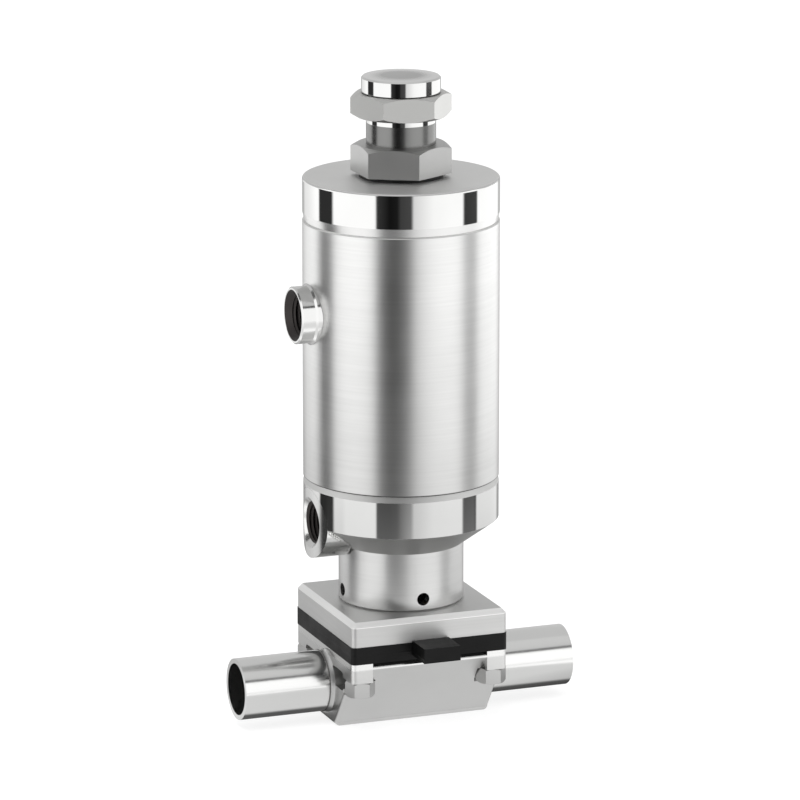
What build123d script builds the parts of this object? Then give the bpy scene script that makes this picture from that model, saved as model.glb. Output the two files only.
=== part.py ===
from build123d import *
import math
import os

# Pneumatic diaphragm valve, DN15, normally closed, with butt-weld spigots.
# Millimetres. The origin is in the middle of the body's underside, +X runs with the flow,
# -Y is the front with the diaphragm's tab, and +Z runs up the spindle.

# Pipe connection
tube_diameter = 19.0
tube_wall = 1.5
face_to_face = 108.0
weld_neck_length = 1.5
weld_neck_swell = 0.4

# Valve body
flange_side = 50.6
flange_corner_radius = 1.6
flange_edge_height = 1.9
body_height = 23.7
bore_height = 12.2
web_half_width = 10.3
web_side_height = 1.2
web_edge_radius = 0.8
ear_thickness = 6.1
ear_length = 6.6
ear_radius = 3.5
body_end_radius = 1.6
body_bevel = 1.4
weir_thickness = 5.0
weir_top_thickness = 8.0
bowl_radius = 15.0
bowl_depth = 6.5
bowl_window_width = 15.0
side_hollow_depth = 6.3
side_hollow_height = 6.0
side_hollow_drop = 4.5
side_hollow_start = 7.3
side_hollow_width = 9.5
side_hollow_radius = 1.2

# Flange studs and nuts, M5
stud_spacing = 43.0
stud_diameter = 5.0
stud_in_bonnet = 6.1
stud_end_below_nut = 0.5
nut_width = 8.0
nut_height = 4.7
nut_turned = 48.6
nut_pocket = 9.6
nut_pocket_radius = 3.5
nut_pocket_floor = 0.6

# Diaphragm
diaphragm_side = 50.9
diaphragm_thickness = 5.4
membrane_thickness = 3.0
tab_width = 11.8
tab_length = 10.4
tab_thickness = 4.6
tab_rise = 0.6
moulded_boss_radius = 5.5
moulded_boss_height = 3.0
stud_head_radius = 4.0
stud_head_height = 1.9
diaphragm_stud_radius = 2.5

# Bonnet
plate_thickness = 7.7
plate_bevel = 1.5
neck_diameter = 38.6
neck_height = 18.2
neck_wall = 3.6
neck_thread_length = 8.5
neck_thread_wall = 4.4
neck_foot_chamfer = 0.5
weep_hole_diameter = 4.0
weep_hole_height = 3.8

# Actuator cylinder
barrel_diameter = 60.2
barrel_wall = 1.5
barrel_length = 79.8
barrel_end_chamfer = 0.2
cover_spigot_length = 6.8
cover_spigot_wall = 4.5
oring_wire = 2.5
oring_groove_length = 2.8

# Lower cover
cone_height = 7.9
lower_band_height = 11.1
lower_bevel_height = 1.9
cover_bevel_depth = 0.6
gland_radius = 11.0
gland_height = 5.6
gland_floor_thickness = 11.6
bush_length = 12.0
bush_wall = 2.0
spindle_oring_wire = 2.4
spindle_oring_spacing = 6.5

# Upper cover
upper_band_height = 10.6
upper_bevel_height = 2.8
upper_cover_thickness = 9.1
cover_edge_radius = 0.8

# Air ports, G 1/4 inside
port_thread_radius = 6.2
port_mouth_chamfer = 1.7
lower_port_radius = 10.9
lower_port_below_band = 0.2
air_drilling_radius = 2.2
upper_port_radius = 8.8
upper_port_height = 128.3
upper_port_reach = 4.9
upper_port_edge = 0.4
upper_port_fillet = 0.6

# Spindle, piston and springs
stroke = 5.5
spindle_radius = 5.0
spindle_collar_radius = 8.0
spindle_collar_height = 2.0
piston_height = 11.0
piston_seal_height = 4.0
piston_seal_depth = 3.0
guide_ring_height = 2.5
guide_ring_depth = 1.2
piston_land = 1.5
piston_stud_radius = 4.0
piston_washer_radius = 9.0
piston_washer_height = 1.6
piston_nut_width = 13.0
piston_nut_height = 6.5
rod_radius = 3.2
compressor_radius = 13.5
compressor_rim = 4.0
compressor_hub_radius = 7.8
compressor_hub_height = 9.0
spindle_engagement = 6.0
cross_pin_radius = 1.5
outer_spring_radius = 19.5
outer_spring_wire = 3.8
outer_spring_turns = 7
inner_spring_radius = 13.0
inner_spring_wire = 2.8
inner_spring_turns = 9

# Stroke limiter on top, M16 screw
limiter_hexagon = 27.0
limiter_hexagon_turned = 30.0
limiter_collar_radius = 12.8
limiter_collar_height = 1.2
limiter_hexagon_height = 8.8
limiter_stub_radius = 10.95
limiter_stub_length = 11.1
limiter_neck_radius = 9.5
sleeve_radius = 10.65
sleeve_height = 6.6
seal_ring_height = 1.9
lock_nut_height = 7.2
lock_nut_turned = 49.3
cap_diameter = 24.2
cap_height = 4.7
cap_chamfer = 0.5
cap_dome = 0.2
limiter_screw_radius = 8.0
screw_in_cap = 2.9
screw_below_housing = 4.0
stop_pad_radius = 3.5
stop_pad_length = 10.0
stop_pad_depth = 4.2
limiter_oring_wire = 1.5

# Fits and clearances
running_fit = 0.05
seat_fit = 0.05
stud_clearance = 0.25
bonnet_front_gap = 0.3
membrane_seat_gap = 0.1
compressor_gap = 0.3
spindle_clearance = 0.3
end_gap = 0.3
piston_rest_gap = 1.5
piston_clearance = 0.4
cutter_margin = 5.0

# Levels up the spindle axis
tube_radius = tube_diameter / 2
bore_radius = tube_radius - tube_wall
flange_half = flange_side / 2
shoulder_level = body_height - ear_thickness
weir_level = body_height - bowl_depth
bonnet_base = body_height + diaphragm_thickness
plate_top = bonnet_base + plate_thickness
neck_radius = neck_diameter / 2
neck_top = plate_top + neck_height
cone_top = neck_top + cone_height
barrel_base = cone_top + lower_band_height + lower_bevel_height
barrel_top = barrel_base + barrel_length
upper_cover_top = barrel_top + upper_bevel_height + upper_band_height
barrel_radius = barrel_diameter / 2
barrel_bore = barrel_radius - barrel_wall
spigot_radius = barrel_bore - seat_fit
spigot_bore = spigot_radius - cover_spigot_wall
recess_floor = cone_top + gland_floor_thickness
gland_top = recess_floor + gland_height
lower_spigot_top = barrel_base + cover_spigot_length
upper_spigot_base = barrel_top - cover_spigot_length
spring_ceiling = upper_cover_top - upper_cover_thickness
cover_base = neck_top - neck_thread_length
piston_base = lower_spigot_top + piston_rest_gap
piston_top = piston_base + piston_height
lower_port_level = cone_top + lower_band_height - lower_port_below_band - lower_port_radius
hexagon_base = upper_cover_top + limiter_collar_height
hexagon_top = hexagon_base + limiter_hexagon_height
sleeve_top = hexagon_top + sleeve_height
lock_nut_base = sleeve_top + seal_ring_height
lock_nut_top = lock_nut_base + lock_nut_height
cap_base = lock_nut_top + end_gap
housing_base = upper_cover_top - limiter_stub_length
screw_base = housing_base + screw_below_housing
pad_base = screw_base + stop_pad_depth - stop_pad_length
rod_top = pad_base - stroke - end_gap
bowl_sphere = (bowl_radius ** 2 + bowl_depth ** 2) / (2 * bowl_depth)
membrane_under = weir_level + membrane_seat_gap
membrane_over = membrane_under + membrane_thickness
moulded_boss_top = membrane_over + moulded_boss_height
compressor_under = membrane_over + compressor_gap
port_plug_end = neck_radius + end_gap


def dish_height(radius, middle):
    """Height of a spherical dish at a radius, for a dish whose middle is at the given height."""
    return middle + bowl_sphere - math.sqrt(bowl_sphere ** 2 - radius ** 2)


def dish_radius(height, middle):
    """Radius at which that dish reaches a height."""
    rise = height - middle
    return math.sqrt(2 * bowl_sphere * rise - rise ** 2)


def spin(*outline, mode=Mode.ADD):
    """Turns a closed outline of (radius, height) points about the spindle axis."""
    with BuildSketch(Plane.XZ) as profile:
        with BuildLine():
            Polyline(*outline, close=True)
        make_face()
    revolve(profile.sketch, axis=Axis.Z, mode=mode)


def spin_dish(radius, middle, ceiling, mode):
    """Turns the space between a dish and a flat ceiling, out to a radius."""
    rim = dish_height(radius, middle)
    with BuildSketch(Plane.XZ) as profile:
        with BuildLine():
            ThreePointArc((0, middle), (radius / 2, dish_height(radius / 2, middle)), (radius, rim))
            if ceiling > rim + 0.001:
                Line((radius, rim), (radius, ceiling))
            Line((radius, ceiling), (0, ceiling))
            Line((0, ceiling), (0, middle))
        make_face()
    revolve(profile.sketch, axis=Axis.Z, mode=mode)


def spin_port(level, *outline, mode=Mode.ADD):
    """Turns an outline of (distance from the spindle, radius) points about a port's axis."""
    with BuildSketch(Plane.XZ) as profile:
        with BuildLine():
            Polyline(*[(-distance, level + radius) for distance, radius in outline], close=True)
        make_face()
    revolve(profile.sketch, axis=Axis((0, 0, level), (1, 0, 0)), mode=mode)


def spin_oring(centre_radius, level, wire, mode=Mode.ADD):
    """Turns a round ring of the given wire diameter about the spindle axis."""
    with BuildSketch(Plane.XZ) as profile:
        with Locations((centre_radius, level)):
            Circle(wire / 2)
    revolve(profile.sketch, axis=Axis.Z, mode=mode)


def hexagon(width, base, height, turned, cut_below):
    """Adds a hexagon of a width across flats, turned by degrees from +X, its corners cut at 30 degrees."""
    with BuildSketch(Plane.XY.offset(base)) as outline:
        RegularPolygon(width / 2, 6, major_radius=False, rotation=turned)
    extrude(outline.sketch, amount=height)
    corner = width / math.sqrt(3)
    cut = (corner - width / 2) * math.tan(math.radians(30))
    spin(
        (0, base),
        (width / 2 if cut_below else corner, base),
        (corner, base + cut),
        (corner, base + height - cut),
        (width / 2, base + height),
        (0, base + height),
        mode=Mode.INTERSECT,
    )


def finish(piece, name):
    """Labels a piece and writes it."""
    piece.part.label = name
    export_step(piece.part, "parts/" + name + ".step")


def coil(spring_radius, wire, turns, base, top):
    """Winds a spring with one closed turn at each end, both ends ground flat on their seats."""
    closed_pitch = 1.05 * wire
    start = base + wire / 8
    open_rise = top - base - wire / 4 - 2 * closed_pitch
    closed = (closed_pitch, closed_pitch)
    for pitch, rise in (closed, (open_rise / turns, open_rise), closed):
        with BuildLine() as winding:
            Helix(pitch, rise, spring_radius, center=(0, 0, start))
        with BuildSketch(Plane((spring_radius, 0, start), x_dir=(1, 0, 0), z_dir=(0, 1, 0))) as section:
            Circle(wire / 2)
        sweep(section.sketch, path=winding.line, is_frenet=True)
        start += rise
    for seat in (base - wire, top):
        with Locations((0, 0, seat)):
            Cylinder(
                spring_radius + wire,
                wire,
                align=(Align.CENTER, Align.CENTER, Align.MIN),
                mode=Mode.SUBTRACT,
            )


membrane_radius = dish_radius(body_height, membrane_under)
compressor_rim_level = dish_height(compressor_radius, compressor_under)
compressor_top = compressor_rim_level + compressor_rim
hub_top = compressor_top + compressor_hub_height
spindle_base = hub_top - spindle_engagement
pin_level = hub_top - spindle_engagement / 2

os.makedirs("parts", exist_ok=True)

# Valve body: narrow web and cheeks that widen to the flange, as one profile along the flow
nut_base = shoulder_level - nut_height
with BuildPart() as valve_body:
    with BuildSketch(Plane.YZ) as section:
        with BuildLine():
            Polyline(
                (web_half_width, 0),
                (web_half_width, web_side_height),
                (flange_half, body_height - flange_edge_height),
                (flange_half, body_height),
                (-flange_half, body_height),
                (-flange_half, body_height - flange_edge_height),
                (-web_half_width, web_side_height),
                (-web_half_width, 0),
                close=True,
            )
        make_face()
        fillet(section.vertices().group_by(Axis.Y)[0], web_edge_radius)
    extrude(amount=flange_half, both=True)
    # Ears at the flange's corners, and pockets for the nuts under them
    ear_size = ear_length + cutter_margin
    ear_pitch = 2 * (flange_half - ear_length) + ear_size
    with BuildSketch(Plane.XY.offset(shoulder_level)):
        with GridLocations(ear_pitch, ear_pitch, 2, 2):
            RectangleRounded(ear_size, ear_size, ear_radius)
        Rectangle(flange_side, flange_side, mode=Mode.INTERSECT)
    extrude(amount=ear_thickness)
    pocket_start = stud_spacing / 2 - nut_pocket / 2
    pocket_size = flange_half - pocket_start + cutter_margin
    with BuildSketch(Plane.XY.offset(shoulder_level)):
        with GridLocations(2 * pocket_start + pocket_size, 2 * pocket_start + pocket_size, 2, 2):
            RectangleRounded(pocket_size, pocket_size, nut_pocket_radius)
    extrude(amount=nut_base - nut_pocket_floor - shoulder_level, mode=Mode.SUBTRACT)
    with BuildSketch():
        RectangleRounded(flange_side, flange_side, flange_corner_radius)
    extrude(amount=body_height, mode=Mode.INTERSECT)
    ends = valve_body.faces().filter_by(Axis.X).edges()
    fillet(ends.filter_by(lambda edge: edge.center().Z < shoulder_level - ear_thickness), body_end_radius)
    # Bevel along the flange's front and back edges, between the ears
    with BuildSketch(Plane.YZ):
        with BuildLine():
            Polyline(
                (flange_half - body_bevel, body_height),
                (flange_half, body_height - body_bevel),
                (flange_half + body_bevel, body_height),
                close=True,
            )
        make_face()
        mirror(about=Plane.YZ)
    extrude(amount=flange_half - ear_length, both=True, mode=Mode.SUBTRACT)
    # Hollows in the end faces, beside the weld necks
    hollow_level = body_height - side_hollow_drop - side_hollow_height / 2
    for side in (1, -1):
        with BuildSketch(Plane.YZ.offset(side * (flange_half - side_hollow_depth))):
            with GridLocations(2 * side_hollow_start + side_hollow_width, 0, 2, 1):
                with Locations((0, hollow_level)):
                    RectangleRounded(side_hollow_width, side_hollow_height, side_hollow_radius)
        extrude(amount=side * (side_hollow_depth + cutter_margin), mode=Mode.SUBTRACT)
    # Weld necks
    with BuildSketch(Plane.XZ):
        with BuildLine():
            neck_root = (flange_half, bore_height + tube_radius + weld_neck_swell)
            neck_end = (flange_half + weld_neck_length, bore_height + tube_radius)
            TangentArc(neck_end, neck_root, tangent=(-1, 0))
            Polyline(
                neck_root,
                (flange_half - side_hollow_depth, neck_root[1]),
                (flange_half - side_hollow_depth, bore_height),
                (neck_end[0], bore_height),
                neck_end,
            )
        make_face()
        mirror(about=Plane.YZ)
    revolve(axis=Axis((0, 0, bore_height), (1, 0, 0)))
    # Bores with round ends that leave the weir standing
    with BuildSketch(Plane.XZ):
        with BuildLine():
            weir_foot = (weir_thickness / 2, bore_height)
            bore_start = (weir_thickness / 2 + bore_radius, bore_height + bore_radius)
            diagonal = bore_radius * math.sqrt(0.5)
            ThreePointArc(
                weir_foot,
                (bore_start[0] - diagonal, bore_height + diagonal),
                bore_start,
            )
            Polyline(
                bore_start,
                (flange_half + weld_neck_length + cutter_margin, bore_start[1]),
                (flange_half + weld_neck_length + cutter_margin, bore_height),
                weir_foot,
            )
        make_face()
        mirror(about=Plane.YZ)
    revolve(axis=Axis((0, 0, bore_height), (1, 0, 0)), mode=Mode.SUBTRACT)
    # Dish under the diaphragm, and a window down to each bore
    spin_dish(bowl_radius, weir_level, body_height, Mode.SUBTRACT)
    with BuildSketch(Plane.XY.offset(bore_height)):
        Circle(bowl_radius - membrane_seat_gap)
        Rectangle(2 * bowl_radius, bowl_window_width, mode=Mode.INTERSECT)
        Rectangle(weir_top_thickness, 2 * bowl_radius, mode=Mode.SUBTRACT)
    extrude(amount=body_height - bore_height, mode=Mode.SUBTRACT)
    with Locations((0, 0, body_height)):
        with GridLocations(stud_spacing, stud_spacing, 2, 2):
            Hole(stud_diameter / 2 + stud_clearance, ear_thickness)
finish(valve_body, "valve_body")

# Butt-weld spigots
spigot_length = face_to_face / 2 - flange_half - weld_neck_length
with BuildPart() as inlet_tube:
    with BuildSketch(Plane.YZ.offset(-face_to_face / 2)):
        with Locations((0, bore_height)):
            Circle(tube_radius)
            Circle(bore_radius, mode=Mode.SUBTRACT)
    extrude(amount=spigot_length)
finish(inlet_tube, "inlet_tube")

with BuildPart() as outlet_tube:
    with BuildSketch(Plane.YZ.offset(face_to_face / 2)):
        with Locations((0, bore_height)):
            Circle(tube_radius)
            Circle(bore_radius, mode=Mode.SUBTRACT)
    extrude(amount=-spigot_length)
finish(outlet_tube, "outlet_tube")

# Diaphragm's rim, clamped between body and bonnet, with its tab in front
with BuildPart() as diaphragm:
    with BuildSketch(Plane.XY.offset(body_height)):
        RectangleRounded(diaphragm_side, diaphragm_side, flange_corner_radius)
    extrude(amount=diaphragm_thickness)
    tab_front = flange_half + tab_length
    tab_back = flange_half + bonnet_front_gap
    with BuildSketch(Plane.YZ):
        with BuildLine():
            Polyline(
                (-flange_half + tab_length, bonnet_base),
                (-tab_back, bonnet_base),
                (-tab_back, bonnet_base + tab_rise),
                (-tab_front, bonnet_base + tab_rise),
                (-tab_front, bonnet_base + tab_rise - tab_thickness),
                (-flange_half + tab_length, bonnet_base + tab_rise - tab_thickness),
                close=True,
            )
        make_face()
    extrude(amount=tab_width / 2, both=True)
    with Locations((0, 0, bonnet_base)):
        Hole(membrane_radius + seat_fit, diaphragm_thickness)
        with GridLocations(stud_spacing, stud_spacing, 2, 2):
            Hole(stud_diameter / 2 + stud_clearance, diaphragm_thickness)
finish(diaphragm, "diaphragm")

# Middle of the diaphragm: a dished membrane with a moulded boss, closed on the weir at rest
with BuildPart() as diaphragm_membrane:
    spin_dish(membrane_radius, membrane_under, body_height + membrane_thickness, Mode.ADD)
    spin_dish(membrane_radius + end_gap, membrane_over, bonnet_base, Mode.SUBTRACT)
    boss_foot = membrane_over - membrane_thickness / 3
    spin(
        (0, boss_foot),
        (moulded_boss_radius, boss_foot),
        (moulded_boss_radius, moulded_boss_top),
        (0, moulded_boss_top),
    )
    head_base = membrane_over - stud_head_height / 2
    head_space = stud_head_height + 2 * seat_fit
    spin(
        (0, head_base),
        (stud_head_radius + seat_fit, head_base),
        (stud_head_radius + seat_fit, head_base + head_space),
        (diaphragm_stud_radius + seat_fit, head_base + head_space),
        (diaphragm_stud_radius + seat_fit, moulded_boss_top),
        (0, moulded_boss_top),
        mode=Mode.SUBTRACT,
    )
finish(diaphragm_membrane, "diaphragm_membrane")

# Stud moulded into the diaphragm
with BuildPart() as diaphragm_stud:
    stud_base = head_base + seat_fit
    stud_top = spindle_base - end_gap
    spin(
        (0, stud_base),
        (stud_head_radius, stud_base),
        (stud_head_radius, stud_base + stud_head_height),
        (diaphragm_stud_radius, stud_base + stud_head_height),
        (diaphragm_stud_radius, stud_top),
        (0, stud_top),
    )
finish(diaphragm_stud, "diaphragm_stud")

# Compressor: dished underneath like the membrane, with a hub for the spindle
with BuildPart() as compressor:
    spin_dish(compressor_radius, compressor_under, compressor_top, Mode.ADD)
    spin(
        (0, compressor_rim_level),
        (compressor_hub_radius, compressor_rim_level),
        (compressor_hub_radius, hub_top),
        (0, hub_top),
    )
    boss_space_top = moulded_boss_top + compressor_gap
    spin(
        (0, compressor_under - membrane_thickness),
        (moulded_boss_radius + compressor_gap, compressor_under - membrane_thickness),
        (moulded_boss_radius + compressor_gap, boss_space_top),
        (diaphragm_stud_radius + seat_fit, boss_space_top),
        (diaphragm_stud_radius + seat_fit, spindle_base),
        (spindle_radius + seat_fit, spindle_base),
        (spindle_radius + seat_fit, hub_top),
        (0, hub_top),
        mode=Mode.SUBTRACT,
    )
    with Locations((0, 0, pin_level)):
        Cylinder(
            cross_pin_radius + seat_fit,
            3 * compressor_hub_radius,
            rotation=(0, 90, 0),
            mode=Mode.SUBTRACT,
        )
finish(compressor, "compressor")

with BuildPart() as compressor_pin:
    with Locations((0, 0, pin_level)):
        Cylinder(cross_pin_radius, 2 * compressor_hub_radius, rotation=(0, 90, 0))
finish(compressor_pin, "compressor_pin")

# Bonnet: square plate, round neck with weep holes, thread for the lower cover
with BuildPart() as bonnet:
    with BuildSketch(Plane.XY.offset(bonnet_base)):
        RectangleRounded(flange_side, flange_side, flange_corner_radius)
    extrude(amount=plate_thickness)
    chamfer(bonnet.faces().sort_by(Axis.Z)[-1].edges(), plate_bevel)
    spin(
        (0, plate_top - plate_bevel),
        (neck_radius - neck_foot_chamfer, plate_top - plate_bevel),
        (neck_radius - neck_foot_chamfer, plate_top),
        (neck_radius, plate_top + neck_foot_chamfer),
        (neck_radius, neck_top),
        (0, neck_top),
    )
    spin(
        (0, bonnet_base),
        (neck_radius - neck_wall, bonnet_base),
        (neck_radius - neck_wall, cover_base),
        (neck_radius - neck_thread_wall, cover_base),
        (neck_radius - neck_thread_wall, neck_top),
        (0, neck_top),
        mode=Mode.SUBTRACT,
    )
    with Locations((0, 0, bonnet_base)):
        with GridLocations(stud_spacing, stud_spacing, 2, 2):
            Cylinder(
                stud_diameter / 2 + seat_fit,
                stud_in_bonnet + seat_fit,
                align=(Align.CENTER, Align.CENTER, Align.MIN),
                mode=Mode.SUBTRACT,
            )
    with Locations((0, 0, plate_top + weep_hole_height)):
        for direction in ((0, 90, 0), (90, 0, 0)):
            Cylinder(
                weep_hole_diameter / 2,
                neck_diameter + cutter_margin,
                rotation=direction,
                mode=Mode.SUBTRACT,
            )
finish(bonnet, "bonnet")

# Flange studs and nuts
stud_low = nut_base - stud_end_below_nut
with BuildPart() as flange_studs:
    with BuildSketch(Plane.XY.offset(stud_low)):
        with GridLocations(stud_spacing, stud_spacing, 2, 2):
            Circle(stud_diameter / 2)
    extrude(amount=bonnet_base + stud_in_bonnet - stud_low)
finish(flange_studs, "flange_studs")

with BuildPart() as flange_nut:
    hexagon(nut_width, nut_base, nut_height, nut_turned, True)
    with Locations((0, 0, nut_base + nut_height)):
        Hole(stud_diameter / 2 + seat_fit, nut_height)

with BuildPart() as flange_nuts:
    with GridLocations(stud_spacing, stud_spacing, 2, 2):
        add(flange_nut.part)
finish(flange_nuts, "flange_nuts")

# Lower cover: cone, polished band, spigot into the barrel, gland for the spindle
with BuildPart() as bottom_cover:
    groove_level = (barrel_base + lower_spigot_top) / 2
    groove_radius = spigot_radius - oring_wire + seat_fit
    bush_pocket = spindle_radius + running_fit + bush_wall + seat_fit
    gland_bore = spindle_radius + spindle_clearance
    bush_top = cover_base + bush_length
    spindle_groove = spindle_radius + running_fit + spindle_oring_wire + seat_fit
    spindle_groove_half = spindle_oring_wire / 2 + seat_fit * 2
    upper_seal_level = gland_top - spindle_oring_spacing / 2
    lower_seal_level = upper_seal_level - spindle_oring_spacing
    spin(
        (gland_bore, cover_base),
        (neck_radius - neck_thread_wall - seat_fit, cover_base),
        (neck_radius - neck_thread_wall - seat_fit, neck_top),
        (neck_radius, neck_top),
        (barrel_radius, cone_top),
        (barrel_radius, barrel_base - lower_bevel_height),
        (barrel_radius - cover_bevel_depth, barrel_base),
        (spigot_radius, barrel_base),
        (spigot_radius, groove_level - oring_groove_length / 2),
        (groove_radius, groove_level - oring_groove_length / 2),
        (groove_radius, groove_level + oring_groove_length / 2),
        (spigot_radius, groove_level + oring_groove_length / 2),
        (spigot_radius, lower_spigot_top),
        (spigot_bore, lower_spigot_top),
        (spigot_bore, recess_floor),
        (gland_radius, recess_floor),
        (gland_radius, gland_top),
        (gland_bore, gland_top),
    )
    spin(
        (0, cover_base),
        (bush_pocket, cover_base),
        (bush_pocket, bush_top),
        (0, bush_top),
        mode=Mode.SUBTRACT,
    )
    for seal_level in (lower_seal_level, upper_seal_level):
        spin(
            (0, seal_level - spindle_groove_half),
            (spindle_groove, seal_level - spindle_groove_half),
            (spindle_groove, seal_level + spindle_groove_half),
            (0, seal_level + spindle_groove_half),
            mode=Mode.SUBTRACT,
        )
    # Seat of the lower air port, and the drillings from it into the recess
    port_seat = lower_port_radius + seat_fit
    spin_port(
        lower_port_level,
        (port_plug_end - seat_fit, 0),
        (port_plug_end - seat_fit, port_seat),
        (barrel_radius + cutter_margin, port_seat),
        (barrel_radius + cutter_margin, 0),
        mode=Mode.SUBTRACT,
    )
    drilling_distance = port_plug_end - 2 * air_drilling_radius
    spin_port(
        lower_port_level,
        (drilling_distance, 0),
        (drilling_distance, air_drilling_radius),
        (port_plug_end, air_drilling_radius),
        (port_plug_end, 0),
        mode=Mode.SUBTRACT,
    )
    with Locations((-drilling_distance, 0, lower_port_level)):
        Cylinder(
            air_drilling_radius,
            recess_floor - lower_port_level + seat_fit,
            align=(Align.CENTER, Align.CENTER, Align.MIN),
            mode=Mode.SUBTRACT,
        )
finish(bottom_cover, "bottom_cover")

# Bush and seals round the spindle
with BuildPart() as spindle_bush:
    spin(
        (spindle_radius + running_fit, cover_base),
        (spindle_radius + running_fit + bush_wall, cover_base),
        (spindle_radius + running_fit + bush_wall, bush_top),
        (spindle_radius + running_fit, bush_top),
    )
finish(spindle_bush, "spindle_bush")

with BuildPart() as spindle_seals:
    for seal_level in (lower_seal_level, upper_seal_level):
        spin_oring(spindle_radius + running_fit + spindle_oring_wire / 2, seal_level, spindle_oring_wire)
finish(spindle_seals, "spindle_seals")

with BuildPart() as lower_cover_oring:
    spin_oring(spigot_radius - oring_wire / 2 + seat_fit / 2, groove_level, oring_wire - seat_fit)
finish(lower_cover_oring, "lower_cover_oring")

# Lower air port, welded into the cover and trimmed to its outside
with BuildPart() as lower_air_port:
    spin_port(
        lower_port_level,
        (port_plug_end, port_thread_radius),
        (port_plug_end, lower_port_radius),
        (barrel_radius + cutter_margin, lower_port_radius),
        (barrel_radius + cutter_margin, port_thread_radius + port_mouth_chamfer),
        (barrel_radius, port_thread_radius + port_mouth_chamfer),
        (barrel_radius - port_mouth_chamfer, port_thread_radius),
    )
    with Locations((0, 0, lower_port_level)):
        Cylinder(barrel_radius, 4 * lower_port_radius, mode=Mode.INTERSECT)
finish(lower_air_port, "lower_air_port")

# Barrel with a hole for the upper air port
with BuildPart() as cylinder_tube:
    spin(
        (barrel_bore, barrel_base),
        (barrel_radius - barrel_end_chamfer, barrel_base),
        (barrel_radius, barrel_base + barrel_end_chamfer),
        (barrel_radius, barrel_top - barrel_end_chamfer),
        (barrel_radius - barrel_end_chamfer, barrel_top),
        (barrel_bore, barrel_top),
    )
    spin_port(
        upper_port_height,
        (0, 0),
        (0, upper_port_radius + seat_fit),
        (barrel_radius + cutter_margin, upper_port_radius + seat_fit),
        (barrel_radius + cutter_margin, 0),
        mode=Mode.SUBTRACT,
    )
finish(cylinder_tube, "cylinder_tube")

# Upper air port with its weld fillet on the barrel
with BuildPart() as upper_air_port:
    plug_start = barrel_bore - upper_port_radius / 2
    port_end = barrel_radius + upper_port_reach
    spin_port(
        upper_port_height,
        (plug_start, 0),
        (plug_start, upper_port_radius + upper_port_fillet),
        (barrel_radius, upper_port_radius + upper_port_fillet),
        (barrel_radius + upper_port_fillet, upper_port_radius),
        (barrel_radius + upper_port_fillet, 0),
    )
    with Locations((0, 0, upper_port_height)):
        Cylinder(barrel_radius + seat_fit, 4 * upper_port_radius, mode=Mode.SUBTRACT)
    spin_port(
        upper_port_height,
        (plug_start, 0),
        (plug_start, upper_port_radius),
        (port_end - upper_port_edge, upper_port_radius),
        (port_end, upper_port_radius - upper_port_edge),
        (port_end, 0),
    )
    spin_port(
        upper_port_height,
        (plug_start, 0),
        (plug_start, port_thread_radius),
        (port_end - port_mouth_chamfer, port_thread_radius),
        (port_end, port_thread_radius + port_mouth_chamfer),
        (port_end, 0),
        mode=Mode.SUBTRACT,
    )
    with Locations((0, 0, upper_port_height)):
        Cylinder(barrel_bore, 4 * upper_port_radius, mode=Mode.SUBTRACT)
finish(upper_air_port, "upper_air_port")

# Upper cover
with BuildPart() as top_cover:
    upper_groove_level = (barrel_top + upper_spigot_base) / 2
    stub_hole = limiter_stub_radius + seat_fit
    spin(
        (stub_hole, spring_ceiling),
        (spigot_bore, spring_ceiling),
        (spigot_bore, upper_spigot_base),
        (spigot_radius, upper_spigot_base),
        (spigot_radius, upper_groove_level - oring_groove_length / 2),
        (groove_radius, upper_groove_level - oring_groove_length / 2),
        (groove_radius, upper_groove_level + oring_groove_length / 2),
        (spigot_radius, upper_groove_level + oring_groove_length / 2),
        (spigot_radius, barrel_top),
        (barrel_radius - cover_bevel_depth, barrel_top),
        (barrel_radius, barrel_top + upper_bevel_height),
        (barrel_radius, upper_cover_top),
        (stub_hole, upper_cover_top),
    )
    rims = top_cover.edges().filter_by(GeomType.CIRCLE).group_by(Axis.Z)[-1]
    fillet(rims.sort_by(SortBy.RADIUS)[-1], cover_edge_radius)
finish(top_cover, "top_cover")

with BuildPart() as upper_cover_oring:
    spin_oring(spigot_radius - oring_wire / 2 + seat_fit / 2, upper_groove_level, oring_wire - seat_fit)
finish(upper_cover_oring, "upper_cover_oring")

# Piston with grooves for its seal and its guide ring
piston_radius = barrel_bore - piston_clearance
seal_base = piston_base + piston_land
seal_top = seal_base + piston_seal_height
guide_base = seal_top + piston_land
guide_top = guide_base + guide_ring_height
with BuildPart() as piston:
    spin(
        (piston_stud_radius + seat_fit, piston_base),
        (piston_radius, piston_base),
        (piston_radius, seal_base),
        (piston_radius - piston_seal_depth, seal_base),
        (piston_radius - piston_seal_depth, seal_top),
        (piston_radius, seal_top),
        (piston_radius, guide_base),
        (piston_radius - guide_ring_depth, guide_base),
        (piston_radius - guide_ring_depth, guide_top),
        (piston_radius, guide_top),
        (piston_radius, piston_top),
        (piston_stud_radius + seat_fit, piston_top),
    )
finish(piston, "piston")

with BuildPart() as piston_seal:
    seal_inner = piston_radius - piston_seal_depth + seat_fit
    seal_outer = barrel_bore - running_fit
    lip_level = seal_base + piston_seal_height / 2
    spin(
        (seal_inner, seal_base + seat_fit),
        ((seal_inner + seal_outer) / 2, lip_level),
        (seal_outer, seal_base + seat_fit),
        (seal_outer, lip_level),
        (piston_radius, seal_top - seat_fit),
        (seal_inner, seal_top - seat_fit),
    )
finish(piston_seal, "piston_seal")

with BuildPart() as piston_guide_ring:
    spin(
        (piston_radius - guide_ring_depth + seat_fit, guide_base + seat_fit),
        (barrel_bore - running_fit, guide_base + seat_fit),
        (barrel_bore - running_fit, guide_top - seat_fit),
        (piston_radius - guide_ring_depth + seat_fit, guide_top - seat_fit),
    )
finish(piston_guide_ring, "piston_guide_ring")

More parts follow.
